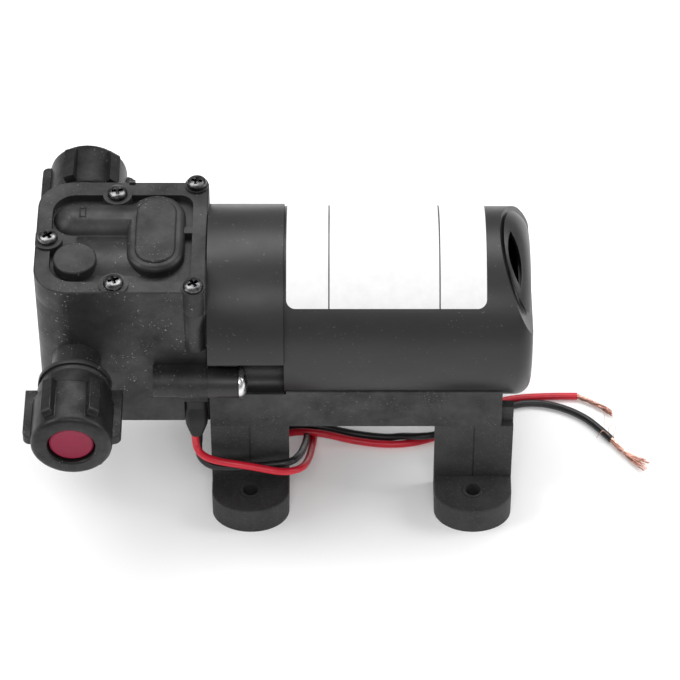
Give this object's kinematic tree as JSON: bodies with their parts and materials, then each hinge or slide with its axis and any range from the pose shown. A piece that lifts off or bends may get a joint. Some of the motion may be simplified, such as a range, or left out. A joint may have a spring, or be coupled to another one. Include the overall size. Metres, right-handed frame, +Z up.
{
  "type": "diaphragm pump",
  "caption": "Small twelve volt diaphragm water pump with side ports, a motor along its axis, rubber feet and two loose leads, for a caravan or camper.",
  "frame": {"origin": "middle of the four foot holes, on the surface that the feet stand on", "axes": "+X along the motor axis from the pump head to the free end of the motor, +Z up, and -Y is the side that the leads leave on"},
  "size_m": [0.2003, 0.122, 0.0962],
  "materials": {
    "head_plastic": "dark grey glass-filled moulding, satin with a fine grain",
    "motor_plastic": "dark grey moulding, satin with a fine grain",
    "nut_plastic": "dark grey moulding, satin",
    "cradle_plastic": "near black moulding, satin",
    "inner_plastic": "natural moulding",
    "plug_plastic": "magenta soft plastic, slightly glossy",
    "label_film": "white film sticker, bare",
    "foot_rubber": "dark grey rubber, matte and speckled",
    "gland_rubber": "black rubber, satin",
    "seal_rubber": "black rubber",
    "red_insulation": "red lead covering, soft gloss",
    "black_insulation": "black lead covering, soft gloss",
    "copper": "bare copper",
    "black_steel": "dark plated screw steel, shiny",
    "bright_steel": "bright plated steel",
    "spring_steel": "spring wire",
    "lamination_steel": "stacked electrical steel",
    "magnet_ferrite": "ferrite magnet",
    "brush_carbon": "carbon brush",
    "bush_bronze": "oiled bronze bush",
    "turned_aluminium": "machined aluminium"
  },
  "bodies": {
    "pump": {"head_body": "head_plastic", "bottom_tray": "head_plastic", "head_cover": "head_plastic", "tray_screws": "black_steel", "cover_screws": "black_steel", "cover_gasket": "seal_rubber", "valve_plate": "inner_plastic", "inlet_valve_spring": "spring_steel", "outlet_valve_spring": "spring_steel", "diaphragm": "seal_rubber", "port_washers": "seal_rubber", "switch_membrane": "seal_rubber", "switch_guide": "inner_plastic", "switch_spring": "spring_steel", "microswitch": "inner_plastic", "wire_gland": "gland_rubber", "red_lead": "red_insulation", "black_lead": "black_insulation", "red_strands": "copper", "black_strands": "copper", "adapter_sleeve": "motor_plastic", "through_bolts": "bright_steel", "motor_screws": "bright_steel", "motor_jacket": "motor_plastic", "end_dome": "motor_plastic", "label": "label_film", "motor_can": "bright_steel", "front_bearing": "bright_steel", "rear_bush": "bush_bronze", "end_plate": "inner_plastic", "brushes": "brush_carbon", "brush_springs": "spring_steel", "magnets": "magnet_ferrite", "cradle": "cradle_plastic", "cradle_screws": "black_steel", "near_left_foot": "foot_rubber", "far_left_foot": "foot_rubber", "near_right_foot": "foot_rubber", "far_right_foot": "foot_rubber"},
    "rotor": {"motor_shaft": "bright_steel", "armature_core": "lamination_steel", "armature_windings": "copper", "commutator": "copper", "eccentric": "bright_steel", "eccentric_screw": "black_steel", "crank_inner_race": "bright_steel"},
    "rod": {"connecting_rod": "turned_aluminium", "crank_outer_race": "bright_steel", "crank_balls": "bright_steel", "diaphragm_clamp": "turned_aluminium", "clamp_screw": "bright_steel"},
    "inlet_valve": {"inlet_valve": "seal_rubber", "inlet_valve_clip": "spring_steel"},
    "outlet_valve": {"outlet_valve": "seal_rubber", "outlet_valve_clip": "spring_steel"},
    "near_plug": {"near_port_plug": "plug_plastic"},
    "near_nut": {"near_port_nut": "nut_plastic"},
    "far_plug": {"far_port_plug": "plug_plastic"},
    "far_nut": {"far_port_nut": "nut_plastic"},
    "plunger": {"switch_plunger": "inner_plastic"}
  },
  "joints": [
    {"name": "rotor_spin", "type": "hinge", "parent": "pump", "child": "rotor", "pos_m": [0, 0, 0.0645], "axis": [1, 0, 0], "continuous": true},
    {"name": "rod_turn", "type": "hinge", "parent": "rotor", "child": "rod", "pos_m": [-0.0648, 0, 0.0661], "axis": [1, 0, 0], "continuous": true, "deforming": ["diaphragm"]},
    {"name": "near_nut_slide", "type": "slide", "parent": "pump", "child": "near_plug", "axis": [0, -1, 0], "range_m": [0, 0.011]},
    {"name": "near_nut_turn", "type": "hinge", "parent": "near_plug", "child": "near_nut", "pos_m": [-0.09, -0.055, 0.0625], "axis": [0, -1, 0], "range_deg": [0, 1800]},
    {"name": "far_nut_slide", "type": "slide", "parent": "pump", "child": "far_plug", "axis": [0, 1, 0], "range_m": [0, 0.011]},
    {"name": "far_nut_turn", "type": "hinge", "parent": "far_plug", "child": "far_nut", "pos_m": [-0.09, 0.055, 0.0625], "axis": [0, 1, 0], "range_deg": [0, 1800]},
    {"name": "inlet_valve_lift", "type": "slide", "parent": "pump", "child": "inlet_valve", "axis": [0, 0, -1], "range_m": [0, 0.0005], "stiffness_N_per_m": 40, "springref_m": -0.0005, "deforming": ["inlet_valve_spring"]},
    {"name": "outlet_valve_lift", "type": "slide", "parent": "pump", "child": "outlet_valve", "axis": [0, 0, 1], "range_m": [0, 0.0005], "stiffness_N_per_m": 40, "springref_m": -0.0005, "deforming": ["outlet_valve_spring"]},
    {"name": "switch_press", "type": "slide", "parent": "pump", "child": "plunger", "axis": [0, 0, -1], "range_m": [0, 0.0007], "stiffness_N_per_m": 300, "springref_m": -0.0005, "deforming": ["switch_spring", "switch_membrane"]}
  ],
  "couplings": [
    {"joint": "rod_turn", "follows": "rotor_spin", "ratio": -1},
    {"joint": "near_nut_slide", "follows": "near_nut_turn", "m_per_rad": 0.00035014},
    {"joint": "far_nut_slide", "follows": "far_nut_turn", "m_per_rad": 0.00035014}
  ]
}
